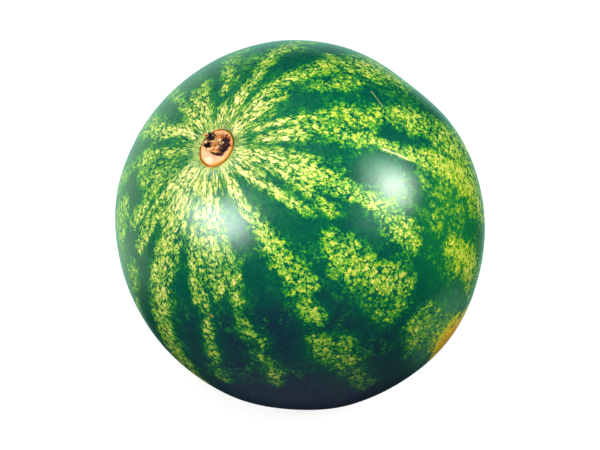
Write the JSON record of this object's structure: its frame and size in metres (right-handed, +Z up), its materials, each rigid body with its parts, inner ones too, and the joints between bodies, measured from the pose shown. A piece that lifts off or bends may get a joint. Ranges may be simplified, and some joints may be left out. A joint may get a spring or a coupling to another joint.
{
  "type": "watermelon",
  "caption": "Whole round striped watermelon: a smooth globe with a corky stalk scar, torn stalk remains and a flower scar, resting on a small flat.",
  "frame": {"origin": "under the middle of the fruit's bounding box, on the surface that it rests on", "axes": "+Z up; the stem end leans over towards -Y, 44 degrees above the horizon, and the flower end is low towards +Y; X is level and square to the stem axis"},
  "size_m": [0.2194, 0.2256, 0.2222],
  "materials": {
    "rind": "satin",
    "callus": "matte",
    "dry_stalk": "matte",
    "flower_cork": "matte"
  },
  "bodies": {
    "root": {"fruit": "rind", "stem_callus": "callus", "stem_remnant": "dry_stalk", "flower_scar": "flower_cork"}
  },
  "joints": []
}
